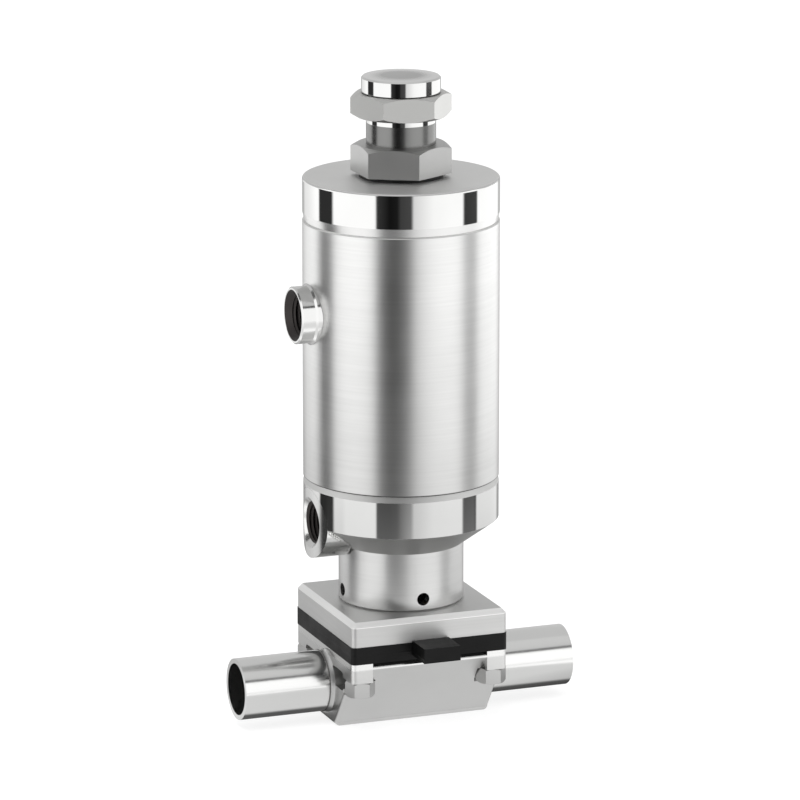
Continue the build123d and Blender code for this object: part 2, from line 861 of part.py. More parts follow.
washer_top = piston_top + piston_washer_height
piston_nut_top = washer_top + piston_nut_height
with BuildPart() as piston_washer:
    spin(
        (piston_stud_radius + seat_fit, piston_top),
        (piston_washer_radius, piston_top),
        (piston_washer_radius, washer_top),
        (piston_stud_radius + seat_fit, washer_top),
    )
finish(piston_washer, "piston_washer")

with BuildPart() as piston_nut:
    hexagon(piston_nut_width, washer_top, piston_nut_height, 0, True)
    with Locations((0, 0, piston_nut_top)):
        Hole(piston_stud_radius + seat_fit, piston_nut_height)
finish(piston_nut, "piston_nut")

# Spindle: from the compressor, through gland and piston, up to the stroke limiter
with BuildPart() as spindle:
    spin(
        (0, spindle_base),
        (spindle_radius, spindle_base),
        (spindle_radius, piston_base - spindle_collar_height),
        (spindle_collar_radius, piston_base - spindle_collar_height),
        (spindle_collar_radius, piston_base),
        (piston_stud_radius, piston_base),
        (piston_stud_radius, piston_nut_top + end_gap),
        (rod_radius, piston_nut_top + end_gap),
        (rod_radius, rod_top),
        (0, rod_top),
    )
    with Locations((0, 0, pin_level)):
        Cylinder(cross_pin_radius + seat_fit, 3 * spindle_radius, rotation=(0, 90, 0), mode=Mode.SUBTRACT)
finish(spindle, "spindle")

# Closing springs
with BuildPart() as outer_spring:
    coil(outer_spring_radius, outer_spring_wire, outer_spring_turns, piston_top, spring_ceiling)
finish(outer_spring, "outer_spring")

with BuildPart() as inner_spring:
    coil(inner_spring_radius, inner_spring_wire, inner_spring_turns, piston_top, spring_ceiling)
finish(inner_spring, "inner_spring")

# Stroke limiter: housing with collar and hexagon
screw_hole = limiter_screw_radius + running_fit
limiter_groove = limiter_stub_radius - limiter_oring_wire + seat_fit
limiter_groove_level = upper_cover_top - 2 * limiter_oring_wire
limiter_groove_half = limiter_oring_wire / 2 + seat_fit
with BuildPart() as limiter_housing:
    hexagon(limiter_hexagon, hexagon_base, limiter_hexagon_height, limiter_hexagon_turned, False)
    spin(
        (0, housing_base),
        (limiter_stub_radius, housing_base),
        (limiter_stub_radius, upper_cover_top),
        (limiter_collar_radius, upper_cover_top),
        (limiter_collar_radius, hexagon_base),
        (limiter_neck_radius, hexagon_base),
        (limiter_neck_radius, lock_nut_base - end_gap),
        (0, lock_nut_base - end_gap),
    )
    spin(
        (limiter_groove, limiter_groove_level - limiter_groove_half),
        (limiter_stub_radius + seat_fit, limiter_groove_level - limiter_groove_half),
        (limiter_stub_radius + seat_fit, limiter_groove_level + limiter_groove_half),
        (limiter_groove, limiter_groove_level + limiter_groove_half),
        mode=Mode.SUBTRACT,
    )
    spin(
        (0, housing_base),
        (screw_hole, housing_base),
        (screw_hole, lock_nut_base),
        (0, lock_nut_base),
        mode=Mode.SUBTRACT,
    )
finish(limiter_housing, "limiter_housing")

with BuildPart() as housing_oring:
    spin_oring(
        limiter_stub_radius - limiter_oring_wire / 2 + seat_fit,
        limiter_groove_level,
        limiter_oring_wire - seat_fit,
    )
finish(housing_oring, "housing_oring")

with BuildPart() as housing_sleeve:
    spin(
        (limiter_neck_radius + seat_fit, hexagon_top),
        (sleeve_radius, hexagon_top),
        (sleeve_radius, sleeve_top),
        (limiter_neck_radius + seat_fit, sleeve_top),
    )
finish(housing_sleeve, "housing_sleeve")

with BuildPart() as seal_ring:
    spin(
        (limiter_neck_radius + seat_fit, sleeve_top),
        (sleeve_radius - seat_fit, sleeve_top),
        (sleeve_radius - seat_fit, lock_nut_base),
        (limiter_neck_radius + seat_fit, lock_nut_base),
    )
finish(seal_ring, "seal_ring")

with BuildPart() as lock_nut:
    hexagon(limiter_hexagon, lock_nut_base, lock_nut_height, lock_nut_turned, True)
    with Locations((0, 0, lock_nut_top)):
        Hole(screw_hole, lock_nut_height)
finish(lock_nut, "lock_nut")

# Limiter screw with its round head, and the stop pad in its lower end
screw_top = cap_base + screw_in_cap
with BuildPart() as stop_screw:
    spin(
        (0, screw_base + stop_pad_depth + end_gap),
        (stop_pad_radius + running_fit, screw_base + stop_pad_depth + end_gap),
        (stop_pad_radius + running_fit, screw_base),
        (limiter_screw_radius, screw_base),
        (limiter_screw_radius, screw_top),
        (0, screw_top),
    )
finish(stop_screw, "stop_screw")

with BuildPart() as screw_cap:
    cap_radius = cap_diameter / 2
    cap_top = cap_base + cap_height
    with BuildSketch(Plane.XZ):
        with BuildLine():
            Polyline(
                (0, screw_top + seat_fit),
                (limiter_screw_radius + seat_fit, screw_top + seat_fit),
                (limiter_screw_radius + seat_fit, cap_base),
                (cap_radius, cap_base),
                (cap_radius, cap_top - cap_chamfer),
                (cap_radius - cap_chamfer, cap_top),
            )
            dome_radius = ((cap_radius - cap_chamfer) ** 2 + cap_dome ** 2) / (2 * cap_dome)
            half = (cap_radius - cap_chamfer) / 2
            dome_half = cap_top + cap_dome - dome_radius + math.sqrt(dome_radius ** 2 - half ** 2)
            ThreePointArc((cap_radius - cap_chamfer, cap_top), (half, dome_half), (0, cap_top + cap_dome))
            Line((0, cap_top + cap_dome), (0, screw_top + seat_fit))
        make_face()
    revolve(axis=Axis.Z)
finish(screw_cap, "screw_cap")

with BuildPart() as stop_pad:
    with Locations((0, 0, pad_base)):
        Cylinder(stop_pad_radius, stop_pad_length, align=(Align.CENTER, Align.CENTER, Align.MIN))
finish(stop_pad, "stop_pad")
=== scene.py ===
import math

import bmesh
import bpy
import numpy as np
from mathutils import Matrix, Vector


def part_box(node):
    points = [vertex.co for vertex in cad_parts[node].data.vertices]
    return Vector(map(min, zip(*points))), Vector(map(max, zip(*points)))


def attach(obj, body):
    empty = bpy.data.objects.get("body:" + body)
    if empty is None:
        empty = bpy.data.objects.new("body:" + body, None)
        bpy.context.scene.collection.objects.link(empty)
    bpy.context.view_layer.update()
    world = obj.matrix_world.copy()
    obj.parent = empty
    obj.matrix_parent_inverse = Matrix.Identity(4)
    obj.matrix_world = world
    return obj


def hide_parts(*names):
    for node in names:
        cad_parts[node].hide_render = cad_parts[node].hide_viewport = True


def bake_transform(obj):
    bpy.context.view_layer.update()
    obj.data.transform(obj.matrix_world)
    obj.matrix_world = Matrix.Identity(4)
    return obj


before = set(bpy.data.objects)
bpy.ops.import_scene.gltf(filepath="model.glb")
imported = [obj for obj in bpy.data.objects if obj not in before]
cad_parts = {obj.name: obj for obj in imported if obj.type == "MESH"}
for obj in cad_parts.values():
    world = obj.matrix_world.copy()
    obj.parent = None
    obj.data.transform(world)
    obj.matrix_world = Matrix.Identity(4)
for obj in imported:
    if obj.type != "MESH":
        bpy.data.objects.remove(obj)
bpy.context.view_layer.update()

scene = bpy.context.scene
scene.view_settings.view_transform = "Standard"

# Photograph's camera: heading and fall of its line of sight, distance in metres and lens in mm
AZIMUTH = math.radians(20.749)
ELEVATION = math.radians(13.738)
DISTANCE = 1.58713
LENS = 232.97
# The point it looks at, in metres to the right of the spindle's axis and above the ground
AIM_ASIDE = -0.000306
AIM_HEIGHT = 0.098923


def linear(code):
    """sRGB hex colour to linear RGBA."""
    parts = [int(code[i:i + 2], 16) / 255 for i in (0, 2, 4)]
    return [c / 12.92 if c < 0.04045 else ((c + 0.055) / 1.055) ** 2.4 for c in parts] + [1.0]


def add(tree, kind, inputs=(), stops=(), **settings):
    """Adds a node with its settings. An input, by socket name or number, is a value, a socket to link, or a
    node whose first output is linked. A colour ramp's stops are positions from 0 to 1 with grey levels."""
    made = tree.nodes.new("ShaderNode" + kind)
    for key, value in settings.items():
        setattr(made, key, value)
    for key, value in dict(inputs).items():
        if isinstance(value, bpy.types.Node):
            value = value.outputs[0]
        if isinstance(value, bpy.types.NodeSocket):
            tree.links.new(value, made.inputs[key])
        else:
            made.inputs[key].default_value = value
    if stops:
        points = made.color_ramp.elements
        while len(points) < len(stops):
            points.new(0.5)
        for point, (position, grey) in zip(points, sorted(stops)):
            point.position = position
            point.color = (grey, grey, grey, 1)
    return made


# Camera
ahead = Vector((math.sin(AZIMUTH), math.cos(AZIMUTH), 0))
sideways = Vector((math.cos(AZIMUTH), -math.sin(AZIMUTH), 0))
forward = ahead * math.cos(ELEVATION) - Vector((0, 0, math.sin(ELEVATION)))
camera = bpy.data.objects.new("camera", bpy.data.cameras.new("camera"))
camera.data.sensor_width = 36
camera.data.lens = LENS
camera.data.clip_start = 0.01
camera.data.clip_end = 50
camera.location = sideways * AIM_ASIDE + Vector((0, 0, AIM_HEIGHT)) - forward * DISTANCE
camera.rotation_mode = "QUATERNION"
camera.rotation_quaternion = forward.to_track_quat("-Z", "Y")
scene.collection.objects.link(camera)
scene.camera = camera

# Studio, which lights the object and shows in its reflections. The camera itself sees plain white
STUDIO_STRENGTH = 1.55
world = bpy.data.worlds.new("studio")
scene.world = world
world.use_nodes = True
tree = world.node_tree
tree.nodes.clear()
# Direction looked in, turned until the camera's heading is its y. Its height is the sine of its rise
looked_in = add(tree, "TexCoord").outputs["Generated"]
turned = add(tree, "VectorRotate", {"Vector": looked_in, "Angle": AZIMUTH}, rotation_type="Z_AXIS")
parts = add(tree, "SeparateXYZ", {0: turned})
height = parts.outputs[2]
towards_camera = add(tree, "Math", {0: parts.outputs[1], 1: -1.0}, operation="MULTIPLY")
turn = add(tree, "Math", {0: parts.outputs[0], 1: towards_camera}, operation="ARCTAN2")
place = add(tree, "Math", {0: turn, 1: 1 / (2 * math.pi), 2: 0.5}, operation="MULTIPLY_ADD")


def at(degrees):
    """Place on the walls' ramps of a heading, measured from the camera towards its right."""
    return degrees / 360 + 0.5


# Walls all round: white softboxes left and right, a dark gap behind the camera, grey behind the object
open_walls = add(tree, "ValToRGB", {0: place}, stops=[
    (at(-180), 0.46), (at(-176), 0.44), (at(-172), 0.4), (at(-158), 0.36), (at(-150), 0.7), (at(-135), 0.82),
    (at(-118), 1.0), (at(-30), 1.0), (at(-28), 0.035), (at(-13), 0.006), (at(-4), 0.01), (at(0), 0.045),
    (at(12), 0.06), (at(15), 0.68), (at(38), 0.95), (at(60), 1.0), (at(150), 1.0), (at(158), 0.36),
    (at(172), 0.4), (at(176), 0.44), (at(180), 0.46),
])
# A dark flag on each side, between two heights, whose lower and upper edge blur over these widths
LOWER_BLUR, UPPER_BLUR = 0.02, 0.015
left_flag = [(at(-112), 1.0), (at(-109.5), 0.026), (at(-88), 0.026), (at(-85), 1.0)]
right_flag = [(at(76), 1.0), (at(79), 0.03), (at(98.5), 0.05), (at(101), 1.0)]
flags = []
for stops, lowest, highest in ((left_flag, -0.6, -0.02), (right_flag, -0.38, -0.175)):
    into = add(tree, "MapRange", {"Value": height, "From Min": lowest - LOWER_BLUR, "From Max": lowest})
    out_of = add(tree, "MapRange", {"Value": height, "From Min": highest, "From Max": highest + UPPER_BLUR,
                                    "To Min": 1.0, "To Max": 0.0})
    share = add(tree, "Math", {0: into, 1: out_of}, operation="MULTIPLY")
    flag = add(tree, "ValToRGB", {0: place}, stops=stops)
    flags.append(add(tree, "Mix", {0: share, 6: (1, 1, 1, 1), 7: flag}, data_type="RGBA").outputs[2])
both_flags = add(tree, "VectorMath", {0: flags[0], 1: flags[1]}, operation="MULTIPLY")
hung = add(tree, "VectorMath", {0: open_walls, 1: both_flags}, operation="MULTIPLY")
# Light that spills low into the right half of the gap
spill = add(tree, "ValToRGB", {0: place}, stops=[
    (at(-22), 0.0), (at(-6), 0.02), (at(1), 0.07), (at(12), 0.16), (at(15), 0.0),
])
low_down = add(tree, "MapRange", {"Value": height, "From Min": -0.225, "From Max": -0.26})
spilled = add(tree, "VectorMath", {0: spill, 3: low_down}, operation="SCALE")
walls = add(tree, "VectorMath", {0: hung, 1: spilled}, operation="ADD")
# In front, a dark edge starts at the height EDGE and a grey ceiling at CEILING
EDGE, CEILING = 0.57, 0.68
front_roof = add(tree, "ValToRGB", {0: height}, stops=[
    (EDGE, 0.08), (CEILING - 0.01, 0.08), (CEILING, 0.5), (1.0, 0.54),
])
# Behind the object, an even grey starts lower by REAR_DROP
REAR_DROP = 0.45
REAR_GREY = (0.47, 0.47, 0.47, 1)
rear = add(tree, "ValToRGB", {0: place}, stops=[
    (at(-112), 1.0), (at(-104), 0.0), (at(104), 0.0), (at(112), 1.0),
])
roof = add(tree, "Mix", {0: rear, 6: front_roof, 7: REAR_GREY}, data_type="RGBA").outputs[2]
rim = add(tree, "Math", {0: rear, 1: -REAR_DROP, 2: EDGE}, operation="MULTIPLY_ADD")
above_rim = add(tree, "Math", {0: height, 1: rim}, operation="SUBTRACT")
over = add(tree, "MapRange", {"Value": above_rim, "From Min": -0.02, "From Max": 0.0})
surround = add(tree, "Mix", {0: over, 6: walls, 7: roof}, data_type="RGBA").outputs[2]
seen = add(tree, "LightPath")
studio = add(tree, "Background", {"Color": surround, "Strength": STUDIO_STRENGTH})
backdrop = add(tree, "Background", {"Color": (1, 1, 1, 1), "Strength": 1.0})
both = add(tree, "MixShader", {0: seen.outputs["Is Camera Ray"], 1: studio, 2: backdrop})
add(tree, "OutputWorld", {0: both})

# White paper floor just under the object, sizes in metres
FLOOR_REACH = 2
FLOOR_DROP = 0.0002
corners = [(x * FLOOR_REACH, y * FLOOR_REACH, 0) for x, y in ((-1, -1), (1, -1), (1, 1), (-1, 1))]
floor_mesh = bpy.data.meshes.new("floor")
floor_mesh.from_pydata(corners, [], [(0, 1, 2, 3)])
floor = bpy.data.objects.new("floor", floor_mesh)
floor.location.z = -FLOOR_DROP
scene.collection.objects.link(floor)
paper = bpy.data.materials.new("white_paper_floor")
paper.use_nodes = True
tree = paper.node_tree
tree.nodes.clear()
seen = add(tree, "LightPath")
matte = add(tree, "BsdfDiffuse", {"Color": linear("E8E8E8")})
# What the camera sees is a grey that takes the object's shadow, lifted to white
shaded_grey = add(tree, "BsdfDiffuse", {"Color": linear("A0A0A0")})
lift = add(tree, "Emission", {"Color": (1, 1, 1, 1), "Strength": 0.8})
lit = add(tree, "AddShader", {0: shaded_grey, 1: lift})
spot = add(tree, "TexCoord").outputs["Object"]
far = add(tree, "VectorMath", {0: spot}, operation="LENGTH").outputs["Value"]
behind = add(tree, "VectorMath", {0: spot, 1: ahead}, operation="DOT_PRODUCT").outputs["Value"]
across = add(tree, "VectorMath", {0: spot, 1: sideways}, operation="DOT_PRODUCT").outputs["Value"]
# Polished metal sees a painted reflection of the lit floor, a glow given off for reflections alone: grey
# under the object, a bright ring round it, and less light further out
bright = add(tree, "ValToRGB", {0: far}, stops=[
    (0.0, 0.57), (0.076, 0.57), (0.086, 0.97), (0.118, 0.97), (0.17, 0.5), (0.3, 0.28),
])
# Painted light: it is lighter in front of the object than behind it
back = add(tree, "MapRange", {"Value": behind, "From Max": 0.03, "To Min": 1.55, "To Max": 0.6})
# Painted shadow of the tubes: a dark streak lies under them and fades out past their ends
beside = add(tree, "Math", {0: add(tree, "SeparateXYZ", {0: spot}).outputs[1]}, operation="ABSOLUTE")
outside = add(tree, "MapRange", {"Value": far, "From Min": 0.06, "From Max": 0.08, "To Max": 0.01})
off_painted_tube_shadow = add(tree, "Math", {0: beside, 1: outside}, operation="ADD")
under = add(tree, "MapRange", {"Value": off_painted_tube_shadow, "From Min": 0.0055, "From Max": 0.0075, "To Min": 0.12})
# Further out, its painted brightness also changes from the camera's left, at 0, to the camera's right, at 1
slant = add(tree, "Math", {0: across, 1: far}, operation="DIVIDE")
aside = add(tree, "MapRange", {"Value": slant, "From Min": -1.0})
painted_side_light = add(tree, "ValToRGB", {0: aside}, stops=[
    (0.0, 0.08), (0.03, 0.08), (0.05, 0.45), (0.25, 0.45), (0.28, 0.36), (0.48, 0.4), (0.6, 0.8),
    (0.62, 0.45), (1.0, 0.45),
])
doubled = add(tree, "Math", {0: painted_side_light, 1: 2.0}, operation="MULTIPLY")
away = add(tree, "MapRange", {"Value": far, "From Min": 0.13, "From Max": 0.18})
patch = add(tree, "MapRange", {"Value": away, "To Min": 1.0, "To Max": doubled})
with_painted_tube_shadow = add(tree, "Math", {0: back, 1: under}, operation="MULTIPLY")
painted_reflection_strength = add(tree, "Math", {0: with_painted_tube_shadow, 1: patch}, operation="MULTIPLY")
painted_floor_reflection = add(tree, "Emission", {"Color": bright, "Strength": painted_reflection_strength})
# It fades out with the distance from the spindle
fade = add(tree, "ValToRGB", {0: far}, stops=[
    (0.0, 0.0), (0.1, 0.06), (0.16, 0.5), (0.28, 0.68), (0.5, 1.0),
])
clear = add(tree, "BsdfTransparent")
pale = add(tree, "MixShader", {0: seen.outputs["Is Camera Ray"], 1: matte, 2: lit})
mirrored = add(tree, "MixShader", {0: fade, 1: painted_floor_reflection, 2: clear})
sheet = add(tree, "MixShader", {0: seen.outputs["Is Glossy Ray"], 1: pale, 2: mirrored})
add(tree, "OutputMaterial", {0: sheet})
floor_mesh.materials.append(paper)

# Large soft lamp above and in front, to the camera's left, aimed at the middle and unseen in reflections
lamp = bpy.data.objects.new("top_softbox", bpy.data.lights.new("top_softbox", "AREA"))
lamp.data.shape = "DISK"
lamp.data.size = 0.7
lamp.data.energy = 3
lamp.location = (-0.3, -0.35, 0.9)
lamp.rotation_euler = Vector((-0.3, -0.35, 0.8)).to_track_quat("Z", "Y").to_euler()
lamp.visible_glossy = False
scene.collection.objects.link(lamp)

# Widths in mm of the finishes' patterns, each a length over the repeats in it
# Blasted, ground and turned grain is 0.1 mm wide or finer. It is drawn coarser, so that it shows
GRAIN = 10 / 15
# Brushing lines are finer still, and are drawn as high as this and 40 times as long
BRUSHING = 10 / 13
# Patches of metal that handling and wiping leave duller or darker
DULL_PATCH = 100 / 6
DARK_PATCH = 200 / 7
# Pits in moulded rubber, drawn coarser than they are, and its duller patches
PIT = 10 / 14
RUBBER_PATCH = 100 / 9
# How a pattern's x, y and z are scaled. Less than 1 in x and y draws it out into level lines
EVEN = (1, 1, 1)
TURNED = (0.1, 0.1, 1)
FINE_TURNED = (0.15, 0.15, 1)
BRUSHED = (0.025, 0.025, 1)


def new_material(name, colour, roughness, metallic=1.0):
    """A material's tree, shader and texture coordinates."""
    made = bpy.data.materials.new(name)
    made.use_nodes = True
    tree = made.node_tree
    shader = tree.nodes["Principled BSDF"]
    shader.inputs["Base Color"].default_value = linear(colour)
    shader.inputs["Metallic"].default_value = metallic
    shader.inputs["Roughness"].default_value = roughness
    return made, tree, shader, add(tree, "TexCoord").outputs["Object"]


def cloud(tree, spot, width, low, high, stretch=EVEN, detail=4.0):
    """Value that drifts between two limits, over a width in mm: noise, whose usual range, 0.32 to 0.68, is
    spread from one limit to the other."""
    along = add(tree, "Mapping", {"Vector": spot, "Scale": stretch})
    noise = add(tree, "TexNoise", {"Vector": along, "Scale": 1000 / width, "Detail": detail})
    return add(tree, "MapRange", {"Value": noise, "From Min": 0.32, "From Max": 0.68,
                                  "To Min": low, "To Max": high})


def grained(tree, shader, spot, strength, stretch):
    """Puts the grain that a tool leaves in metal on a shader, as relief 0.02 mm deep."""
    pattern = cloud(tree, spot, GRAIN, 0.0, 1.0, stretch, detail=3.0)
    relief = add(tree, "Bump", {"Strength": strength, "Distance": 0.00002, "Height": pattern})
    tree.links.new(relief.outputs[0], shader.inputs["Normal"])


def metal(name, colour, roughness, grain=0.0, stretch=EVEN, spread=0.0, tint=0.06):
    """Bare metal in one finish. Its roughness drifts by the spread to both sides, its colour darkens in
    patches by a share up to the tint, and its grain has a strength and a stretch."""
    made, tree, shader, spot = new_material(name, colour, roughness)
    dull = cloud(tree, spot, DULL_PATCH, roughness - spread, roughness + spread)
    tree.links.new(dull.outputs[0], shader.inputs["Roughness"])
    shade = cloud(tree, spot, DARK_PATCH, 1.0 - tint, 1.0)
    base = add(tree, "VectorMath", {0: linear(colour)[:3], 3: shade}, operation="SCALE")
    tree.links.new(base.outputs[0], shader.inputs["Base Color"])
    if grain:
        grained(tree, shader, spot, grain, stretch)
    return made


def rubber(name, colour, roughness, parting=None):
    """Moulded rubber or plastic: a faint pitted skin, with patches that are duller than others, and a fine
    ridge at the height in metres where the mould parted."""
    ridge_reach = 0.00035
    made, tree, shader, spot = new_material(name, colour, roughness, metallic=0.0)
    shader.inputs["Specular IOR Level"].default_value = 0.2
    dull = cloud(tree, spot, RUBBER_PATCH, roughness - 0.06, roughness + 0.08)
    tree.links.new(dull.outputs[0], shader.inputs["Roughness"])
    skin = cloud(tree, spot, PIT, 0.0, 1.0)
    if parting:
        height = add(tree, "SeparateXYZ", {0: spot}).outputs[2]
        above = add(tree, "Math", {0: height, 1: parting}, operation="SUBTRACT")
        off = add(tree, "Math", {0: above}, operation="ABSOLUTE")
        ridge = add(tree, "MapRange", {"Value": off, "From Max": ridge_reach, "To Min": 6.0, "To Max": 0.0})
        skin = add(tree, "Math", {0: skin, 1: ridge}, operation="ADD")
    relief = add(tree, "Bump", {"Strength": 0.3, "Distance": 0.00004, "Height": skin})
    tree.links.new(relief.outputs[0], shader.inputs["Normal"])
    return made


def zoned(name, first, *zones, grain=0.0, stretch=EVEN, spread=0.015, lines=0.0, core=0.0):
    """Metal whose finish changes with height. The first finish is (colour, roughness); each further one,
    upwards, is (height in mm where it starts, width of the change in mm, colour, roughness). Brushing
    darkens its fine lines by a share. Nearer to the spindle's axis than the core's radius in mm, as in a
    bore, the first finish stays. Grain, stretch and spread are as in metal."""
    made, tree, shader, spot = new_material(name, *first)
    base, dull = linear(first[0]), first[1]
    height = add(tree, "SeparateXYZ", {0: spot}).outputs[2]
    for start, width, colour, roughness in zones:
        mask = add(tree, "MapRange", {"Value": height, "From Min": start / 1000,
                                      "From Max": (start + width) / 1000})
        base = add(tree, "Mix", {0: mask, 6: base, 7: linear(colour)}, data_type="RGBA").outputs[2]
        dull = add(tree, "MapRange", {"Value": mask, "To Min": dull, "To Max": roughness})
    if core:
        flat = add(tree, "VectorMath", {0: spot, 1: (1, 1, 0)}, operation="MULTIPLY")
        distance = add(tree, "VectorMath", {0: flat}, operation="LENGTH").outputs["Value"]
        skin = add(tree, "MapRange", {"Value": distance, "From Min": core / 1000,
                                      "From Max": (core + 0.1) / 1000})
        base = add(tree, "Mix", {0: skin, 6: linear(first[0]), 7: base}, data_type="RGBA").outputs[2]
        dull = add(tree, "MapRange", {"Value": skin, "To Min": first[1], "To Max": dull})
    uneven = cloud(tree, spot, DARK_PATCH, 0.94, 1.0)
    if lines:
        brushed = cloud(tree, spot, BRUSHING, 1.0 - lines, 1.0, BRUSHED)
        uneven = add(tree, "Math", {0: uneven, 1: brushed}, operation="MULTIPLY")
    shade = add(tree, "VectorMath", {0: base, 3: uneven}, operation="SCALE")
    tree.links.new(shade.outputs[0], shader.inputs["Base Color"])
    patches = cloud(tree, spot, DULL_PATCH, -spread, spread)
    rough = add(tree, "Math", {0: dull, 1: patches}, operation="ADD")
    tree.links.new(rough.outputs[0], shader.inputs["Roughness"])
    if grain:
        grained(tree, shader, spot, grain, stretch)
    return made


def surface(name, points, finish, body="valve", close_u=True, close_v=False):
    """A smooth grid of points (u, v, xyz) in metres as one piece, which rides on a body if one is given.
    Each face joins four neighbours, and a closed direction joins its last points to its first. A tube that
    is open along u gets a face at each end. A shape with a negative volume is inside out, and is turned."""
    points = np.asarray(points, dtype=np.float32)
    count_u, count_v = points.shape[:2]
    u = np.arange(count_u if close_u else count_u - 1)
    v = np.arange(count_v if close_v else count_v - 1)
    a, b = [i.ravel() for i in np.meshgrid(u, v, indexing="ij")]
    next_a, next_b = (a + 1) % count_u, (b + 1) % count_v
    corners = [a * count_v + b, next_a * count_v + b, next_a * count_v + next_b, a * count_v + next_b]
    faces = np.stack(corners, 1).tolist()
    if close_v and not close_u:
        first = np.arange(count_v)
        last = first + (count_u - 1) * count_v
        faces += [first[::-1].tolist(), last.tolist()]
    mesh = bpy.data.meshes.new(name)
    mesh.from_pydata(points.reshape(-1, 3).tolist(), [], faces)
    solid = bmesh.new()
    solid.from_mesh(mesh)
    if solid.calc_volume(signed=True) < 0:
        mesh.flip_normals()
    solid.free()
    mesh.shade_smooth()
    mesh.materials.append(finish)
    piece = bpy.data.objects.new(name, mesh)
    scene.collection.objects.link(piece)
    if body:
        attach(piece, body)
    return piece


def coil_spring(node, radius, wire, turns):
    """Spring in place of its rigid node; sizes in mm. The centre of the
    wire circles at the radius. It starts an eighth of the wire above its seat, and climbs 1.05 wires in each
    end turn and evenly in the open ones. Round the wire, a point at the angle a stands half a wire out, by
    cos a away from the spindle and by sin a upwards, and both seats cut the wire flat."""
    low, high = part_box(node)
    base, top = low[2] * 1000, high[2] * 1000
    seated, end_turn = wire / 8, 1.05 * wire
    steps_in_turn, points_round = 64, 16
    turn = np.linspace(0, turns + 2, steps_in_turn * (turns + 2) + 1)
    heights = [base + seated, base + seated + end_turn, top - seated - end_turn, top - seated]
    centre = np.interp(turn, [0, 1, turns + 1, turns + 2], heights)
    a = np.linspace(0, 2 * np.pi, points_round, endpoint=False)
    out = radius + wire / 2 * np.cos(a)
    grid = np.zeros((len(turn), len(a), 3))
    grid[:, :, 0] = np.cos(2 * np.pi * turn)[:, None] * out
    grid[:, :, 1] = np.sin(2 * np.pi * turn)[:, None] * out
    grid[:, :, 2] = np.clip(centre[:, None] + wire / 2 * np.sin(a), base, top)
    piece = surface(node + "_coils", grid / 1000, spring_wire, body=None,
                    close_u=False, close_v=True)
    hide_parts(node)
    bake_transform(piece)


def thread_lining(name, height, start, straight_end, mouth):
    """Pipe thread on a port's bore, sizes in mm. At a distance s from the spindle and an angle t round the
    bore, the radius is root - depth * |2 * frac(s / pitch + t / 2 pi) - 1|: straight flanks that go in and
    out once in each pitch and once round, as a helix does. Past the straight end it follows the mouth's
    chamfer, a skin's thickness inside it. The first and last points lie on the bore itself, so the back
    closes the lining."""
    root, depth, pitch, skin = 6.17, 0.62, 1.337, 0.03
    points_round, points_along = 144, 110
    t = np.linspace(0, 2 * np.pi, points_round, endpoint=False)[:, None]
    s = np.concatenate([[mouth], np.linspace(mouth, start, points_along), [start]])
    chamfer = root + s - straight_end
    wave = np.abs(2 * np.mod(s / pitch + t / (2 * np.pi), 1.0) - 1)
    radius = np.maximum(root - depth * wave, chamfer - skin)
    radius[:, [0, -1]] = np.maximum(root, chamfer[[0, -1]])
    grid = np.stack([np.broadcast_to(-s, radius.shape), radius * np.cos(t), height + radius * np.sin(t)], 2)
    return surface(name, grid / 1000, thread_steel, close_v=True)


def bead(name, path, radius, finish, closed):
    """Weld bead: a circle carried along a path of points in mm. Its radius swells and shrinks by a share
    once in each ripple's length, and an open bead rounds off to a blunt end over one radius."""
    swell, ripple, blunt, points_round = 0.12, 0.9, 0.02, 14
    steps = np.roll(path, -1, axis=0) - np.roll(path, 1, axis=0) if closed else np.gradient(path, axis=0)
    steps /= np.linalg.norm(steps, axis=1)[:, None]
    walked = np.concatenate([[0.0], np.cumsum(np.linalg.norm(np.diff(path, axis=0), axis=1))])
    # The circle's two directions. The first is square to the path and to a slant that no path follows
    side = np.cross(steps, (0.3, 0.2, 1.0))
    side /= np.linalg.norm(side, axis=1)[:, None]
    other = np.cross(steps, side)
    size = radius * (1 + swell * np.cos(walked * 2 * np.pi / ripple))
    if not closed:
        size *= np.sqrt(np.clip(np.minimum(walked, walked[-1] - walked) / radius, blunt, 1.0))
    t = np.linspace(0, 2 * np.pi, points_round, endpoint=False)[None, :, None]
    ring = side[:, None] * np.cos(t) + other[:, None] * np.sin(t)
    grid = path[:, None] + ring * size[:, None, None]
    return surface(name, grid / 1000, finish, close_u=closed, close_v=True)


# Seal ring, mirror-polished stainless steel: it shows the studio's white and dark bands sharply
polished = metal("mirror_polished_stainless", "D2D2D1", 0.045, spread=0.012, tint=0.02)
# Upper cover, turned stainless steel: its band is a mirror, and the bevel at its foot and its top are satin
top_steel = zoned("polished_cover_with_satin_top", ("E6E6E5", 0.25), (158.45, 0.1, "D2D2D1", 0.045),
                  (168.95, 0.1, "DCDCDB", 0.5))
# Lower cover, turned stainless steel: a matt cone and bore, a mirror band, a matt bevel under the barrel
cover_steel = zoned("polished_cover_with_satin_cone", ("B2B2B1", 0.42), (62.6, 0.4, "D2D2D1", 0.05),
                    (73.95, 0.1, "BEBEBD", 0.5), core=28.0)
# Barrel, stainless tube brushed round on a belt: soft bands and fine level streaks, with painted light that
# lightens it towards the top, and at its foot a real joint line painted dark as the shade in it
satin_barrel = zoned("brushed_stainless_barrel", ("5E5E5D", 0.5), (76.15, 0.2, "CECECD", 0.3),
                     (85, 70, "DADAD9", 0.295), grain=0.2, stretch=TURNED, lines=0.055)
# Bonnet, machined stainless steel: a matt plate, its real bevel coloured near white as a painted highlight
# line, and a finer neck with soft bands
bonnet_steel = zoned("satin_plate_and_turned_neck", ("C8C8C7", 0.44), (35.1, 0.1, "F8F8F7", 0.38),
                     (36.72, 0.05, "CECECD", 0.42), (36.9, 1.6, "CFCFCE", 0.3), grain=0.12,
                     stretch=FINE_TURNED, lines=0.05)
